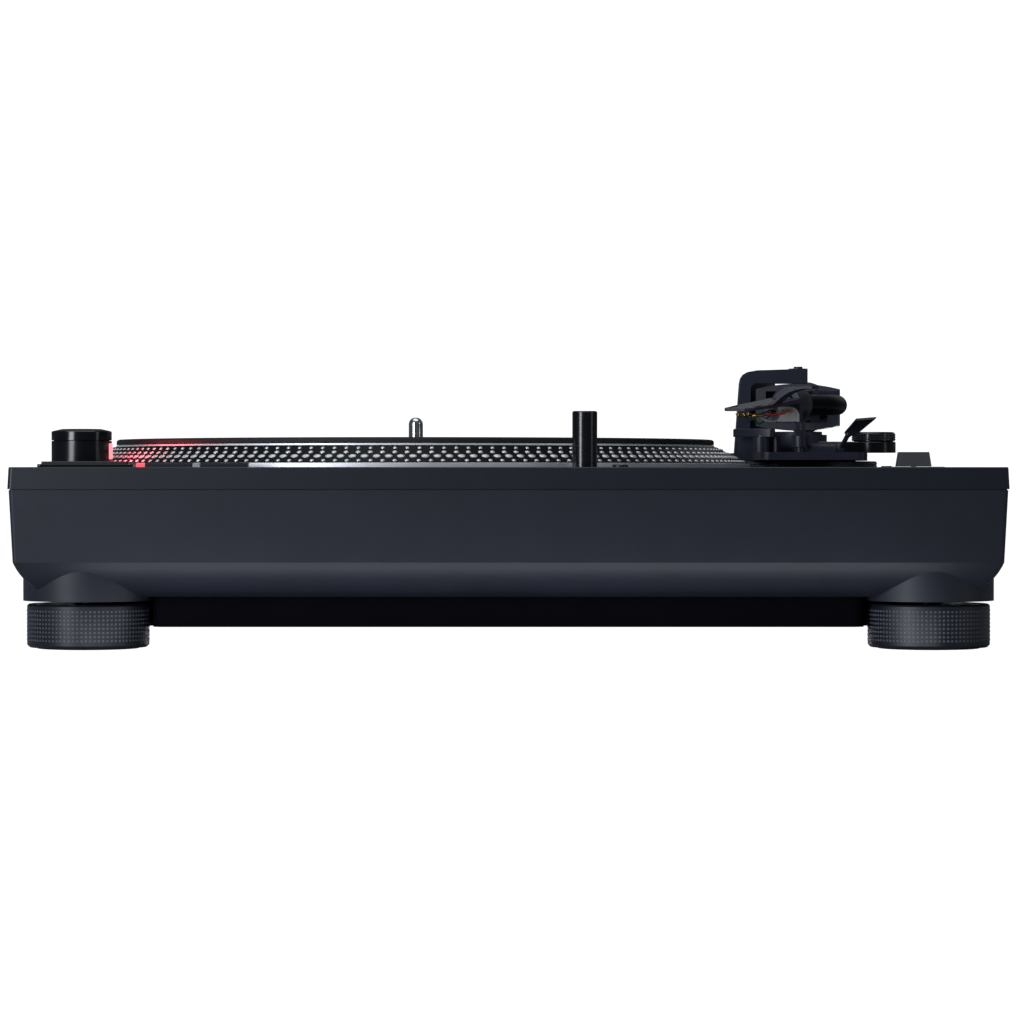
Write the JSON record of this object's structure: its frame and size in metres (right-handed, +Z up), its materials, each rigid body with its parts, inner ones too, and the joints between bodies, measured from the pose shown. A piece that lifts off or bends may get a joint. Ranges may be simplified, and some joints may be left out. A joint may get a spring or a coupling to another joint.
{
  "type": "turntable record player",
  "caption": "Direct-drive record player: black plinth on screw feet, dotted strobe platter, S-shaped tonearm on a height ring, pitch fader, buttons and pop-up lamp.",
  "frame": {"origin": "on the ground, in the middle of the plinth's footprint", "axes": "+X right as seen from the front, +Y to the rear, +Z up"},
  "size_m": [0.453, 0.353, 0.1363],
  "materials": {
    "panel_black": "satin",
    "chassis_black": "satin",
    "cover_black": "matte",
    "screw_steel": "satin",
    "trim_black": "satin",
    "lens_red": "gloss",
    "led_red": "gloss",
    "button_black": "satin",
    "knob_black": "satin",
    "board_green": "satin",
    "bearing_brass": "satin",
    "supply_metal": "satin",
    "inner_plastic": "satin",
    "platter_aluminium": "satin",
    "mat_rubber": "matte",
    "spindle_steel": "polished",
    "arm_black_metal": "satin",
    "arm_satin": "satin",
    "weight_black": "satin",
    "arm_plastic": "satin",
    "lamp_black": "gloss",
    "adaptor_aluminium": "satin",
    "clip_gold": "polished",
    "wire_red": "satin",
    "wire_white": "satin",
    "wire_green": "satin",
    "wire_blue": "satin",
    "foot_black": "satin",
    "pad_rubber": "matte"
  },
  "bodies": {
    "root": {"top_panel": "panel_black", "lower_chassis": "chassis_black", "bottom_cover": "cover_black", "cover_screws": "screw_steel", "control_bezel": "trim_black", "strobe_tower": "trim_black", "strobe_lens": "lens_red", "speed_leds": "led_red", "pitch_plate": "trim_black", "motor_stator": "board_green", "main_bearing": "bearing_brass", "power_supply": "supply_metal", "control_board": "board_green", "pitch_fader": "inner_plastic", "rear_terminals": "inner_plastic", "mains_inlet": "inner_plastic"},
    "platter": {"platter": "platter_aluminium", "platter_mat": "mat_rubber", "spindle": "spindle_steel", "rotor_magnet": "supply_metal"},
    "height_ring": {"height_ring": "arm_black_metal"},
    "height_lock": {"height_lock": "arm_plastic"},
    "arm_base": {"arm_base": "arm_black_metal", "gimbal_bracket": "arm_black_metal", "anti_skate_housing": "trim_black", "arm_rest": "arm_plastic"},
    "gimbal_ring": {"gimbal_ring": "arm_black_metal"},
    "arm": {"arm_tube": "arm_satin", "arm_yoke": "arm_black_metal"},
    "pressure_dial": {"pressure_dial": "knob_black"},
    "counterweight": {"counterweight": "weight_black"},
    "collar": {"collar": "arm_satin"},
    "headshell": {"headshell": "arm_satin", "finger_lift": "arm_satin", "lead_red": "wire_red", "lead_white": "wire_white", "lead_green": "wire_green", "lead_blue": "wire_blue", "lead_clips": "clip_gold"},
    "cue_lever": {"cue_lever": "arm_plastic"},
    "cue_lift": {"cue_lift": "arm_plastic"},
    "arm_clamp": {"arm_clamp": "arm_plastic"},
    "anti_skate_dial": {"anti_skate_dial": "knob_black"},
    "start_button": {"start_button": "button_black"},
    "button_33": {"button_33": "button_black"},
    "button_45": {"button_45": "button_black"},
    "power_knob": {"power_knob": "knob_black"},
    "pitch_knob": {"pitch_knob": "button_black"},
    "reset_button": {"reset_button": "button_black"},
    "lamp_tube": {"lamp_tube": "lamp_black"},
    "lamp_button": {"lamp_button": "button_black"},
    "adaptor": {"adaptor": "adaptor_aluminium"},
    "pad_front_left": {"foot_pad_front_left": "pad_rubber"},
    "foot_front_left": {"foot_front_left": "foot_black"},
    "pad_front_right": {"foot_pad_front_right": "pad_rubber"},
    "foot_front_right": {"foot_front_right": "foot_black"},
    "pad_rear_left": {"foot_pad_rear_left": "pad_rubber"},
    "foot_rear_left": {"foot_rear_left": "foot_black"},
    "pad_rear_right": {"foot_pad_rear_right": "pad_rubber"},
    "foot_rear_right": {"foot_rear_right": "foot_black"}
  },
  "joints": [
    {"name": "platter_spin", "type": "hinge", "parent": "root", "child": "platter", "pos_m": [-0.0463, 0, 0.09], "axis": [0, 0, 1], "continuous": true},
    {"name": "height_ring_turn", "type": "hinge", "parent": "root", "child": "height_ring", "pos_m": [0.1507, 0.087, 0.085], "axis": [0, 0, 1], "range_deg": [0, 360]},
    {"name": "arm_height", "type": "slide", "parent": "root", "child": "arm_base", "axis": [0, 0, 1], "range_m": [0, 0.006]},
    {"name": "height_lock_turn", "type": "hinge", "parent": "root", "child": "height_lock", "pos_m": [0.1747, 0.12857, 0.085], "axis": [0, 0, 1], "range_deg": [0, 60]},
    {"name": "arm_yaw", "type": "hinge", "parent": "arm_base", "child": "gimbal_ring", "pos_m": [0.1507, 0.087, 0.1152], "axis": [0, 0, -1], "range_deg": [0, 44]},
    {"name": "arm_tilt", "type": "hinge", "parent": "gimbal_ring", "child": "arm", "pos_m": [0.1507, 0.087, 0.1152], "axis": [-0.9848, 0.1736, 0], "range_deg": [0, 12]},
    {"name": "dial_travel", "type": "slide", "parent": "arm", "child": "pressure_dial", "axis": [0.1736, 0.9847, 0.0122], "range_m": [-0.008, 0]},
    {"name": "counterweight_turn", "type": "hinge", "parent": "pressure_dial", "child": "counterweight", "pos_m": [0.1507, 0.087, 0.1152], "axis": [0.1736, 0.9847, 0.0122], "range_deg": [-1440, 0]},
    {"name": "collar_turn", "type": "hinge", "parent": "arm", "child": "collar", "pos_m": [0.13465, -0.10136, 0.1129], "axis": [-0.5299, -0.848, -0.0113], "range_deg": [0, 60]},
    {"name": "headshell_pull", "type": "slide", "parent": "arm", "child": "headshell", "axis": [-0.5299, -0.848, -0.0113], "range_m": [0, 0.012]},
    {"name": "cue_lever_swing", "type": "hinge", "parent": "arm_base", "child": "cue_lever", "pos_m": [0.166, 0.01, 0.0927], "axis": [-1, 0, 0], "range_deg": [0, 40]},
    {"name": "cue_lift_rise", "type": "slide", "parent": "arm_base", "child": "cue_lift", "axis": [0, 0, 1], "range_m": [0, 0.0058]},
    {"name": "clamp_swing", "type": "hinge", "parent": "arm_base", "child": "arm_clamp", "pos_m": [0.1539, 0.0066, 0.1209], "axis": [0, -1, 0], "range_deg": [0, 180]},
    {"name": "anti_skate_turn", "type": "hinge", "parent": "arm_base", "child": "anti_skate_dial", "pos_m": [0.1867, 0.052, 0.099], "axis": [0, 0, 1], "range_deg": [0, 270]},
    {"name": "start_press", "type": "slide", "parent": "root", "child": "start_button", "axis": [0, 0, -1], "range_m": [0, 0.0009], "stiffness_N_per_m": 1500, "springref_m": -0.001},
    {"name": "press_33", "type": "slide", "parent": "root", "child": "button_33", "axis": [0, 0, -1], "range_m": [0, 0.0012], "stiffness_N_per_m": 400, "springref_m": -0.001},
    {"name": "press_45", "type": "slide", "parent": "root", "child": "button_45", "axis": [0, 0, -1], "range_m": [0, 0.0012], "stiffness_N_per_m": 400, "springref_m": -0.001},
    {"name": "power_turn", "type": "hinge", "parent": "root", "child": "power_knob", "pos_m": [-0.2009, -0.104, 0.098], "axis": [0, 0, 1], "range_deg": [0, 45]},
    {"name": "pitch_slide", "type": "slide", "parent": "root", "child": "pitch_knob", "axis": [0, 1, 0], "range_m": [-0.05, 0.05]},
    {"name": "reset_press", "type": "slide", "parent": "root", "child": "reset_button", "axis": [0, 0, -1], "range_m": [0, 0.0006], "stiffness_N_per_m": 300, "springref_m": -0.001},
    {"name": "lamp_drop", "type": "slide", "parent": "root", "child": "lamp_tube", "axis": [0, 0, -1], "range_m": [0, 0.024], "stiffness_N_per_m": 40, "springref_m": -0.006},
    {"name": "lamp_release", "type": "slide", "parent": "root", "child": "lamp_button", "axis": [0, 0, -1], "range_m": [0, 0.001], "stiffness_N_per_m": 300, "springref_m": -0.001},
    {"name": "adaptor_lift", "type": "slide", "parent": "root", "child": "adaptor", "axis": [0, 0, 1], "range_m": [0, 0.02]},
    {"name": "foot_travel_front_left", "type": "slide", "parent": "root", "child": "pad_front_left", "axis": [0, 0, -1], "range_m": [0, 0.00625]},
    {"name": "foot_turn_front_left", "type": "hinge", "parent": "pad_front_left", "child": "foot_front_left", "pos_m": [-0.1935, -0.1425, 0.02], "axis": [0, 0, -1], "range_deg": [0, 1800]},
    {"name": "foot_travel_front_right", "type": "slide", "parent": "root", "child": "pad_front_right", "axis": [0, 0, -1], "range_m": [0, 0.00625]},
    {"name": "foot_turn_front_right", "type": "hinge", "parent": "pad_front_right", "child": "foot_front_right", "pos_m": [0.1935, -0.1425, 0.02], "axis": [0, 0, -1], "range_deg": [0, 1800]},
    {"name": "foot_travel_rear_left", "type": "slide", "parent": "root", "child": "pad_rear_left", "axis": [0, 0, -1], "range_m": [0, 0.00625]},
    {"name": "foot_turn_rear_left", "type": "hinge", "parent": "pad_rear_left", "child": "foot_rear_left", "pos_m": [-0.1935, 0.1425, 0.02], "axis": [0, 0, -1], "range_deg": [0, 1800]},
    {"name": "foot_travel_rear_right", "type": "slide", "parent": "root", "child": "pad_rear_right", "axis": [0, 0, -1], "range_m": [0, 0.00625]},
    {"name": "foot_turn_rear_right", "type": "hinge", "parent": "pad_rear_right", "child": "foot_rear_right", "pos_m": [0.1935, 0.1425, 0.02], "axis": [0, 0, -1], "range_deg": [0, 1800]}
  ],
  "couplings": [
    {"joint": "height_ring_turn", "follows": "arm_height", "rad_per_m": 1047.2},
    {"joint": "dial_travel", "follows": "counterweight_turn", "m_per_rad": 0.00031831},
    {"joint": "cue_lift_rise", "follows": "cue_lever_swing", "m_per_rad": 0.0083079},
    {"joint": "foot_travel_front_left", "follows": "foot_turn_front_left", "m_per_rad": 0.00019894},
    {"joint": "foot_travel_front_right", "follows": "foot_turn_front_right", "m_per_rad": 0.00019894},
    {"joint": "foot_travel_rear_left", "follows": "foot_turn_rear_left", "m_per_rad": 0.00019894},
    {"joint": "foot_travel_rear_right", "follows": "foot_turn_rear_right", "m_per_rad": 0.00019894}
  ]
}
